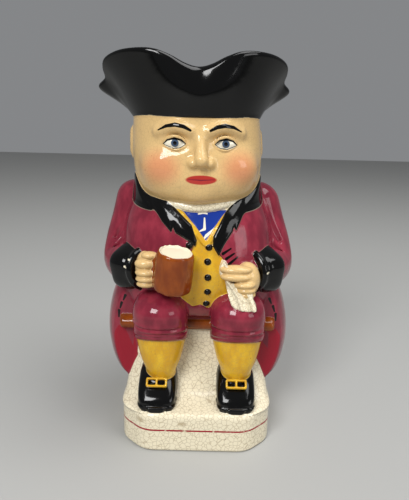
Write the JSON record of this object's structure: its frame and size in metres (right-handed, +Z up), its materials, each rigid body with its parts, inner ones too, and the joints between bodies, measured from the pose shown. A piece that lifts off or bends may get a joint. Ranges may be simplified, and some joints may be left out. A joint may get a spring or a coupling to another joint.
{
  "type": "toby jug",
  "caption": "Glazed earthenware jug cast in the shape of a seated man in a cocked hat, with the open hat as its mouth, a plinth as its foot and a loop handle at the back.",
  "frame": {"origin": "middle of the whole jug in plan, at the plane it stands on", "axes": "+Z up, -Y the way the figure faces, +X to the figure's left"},
  "size_m": [0.1273, 0.141, 0.2352],
  "materials": {
    "glazed_earthenware": "painted under a clear crackled gloss glaze"
  },
  "bodies": {
    "root": {"toby_jug": "glazed_earthenware"}
  },
  "joints": []
}
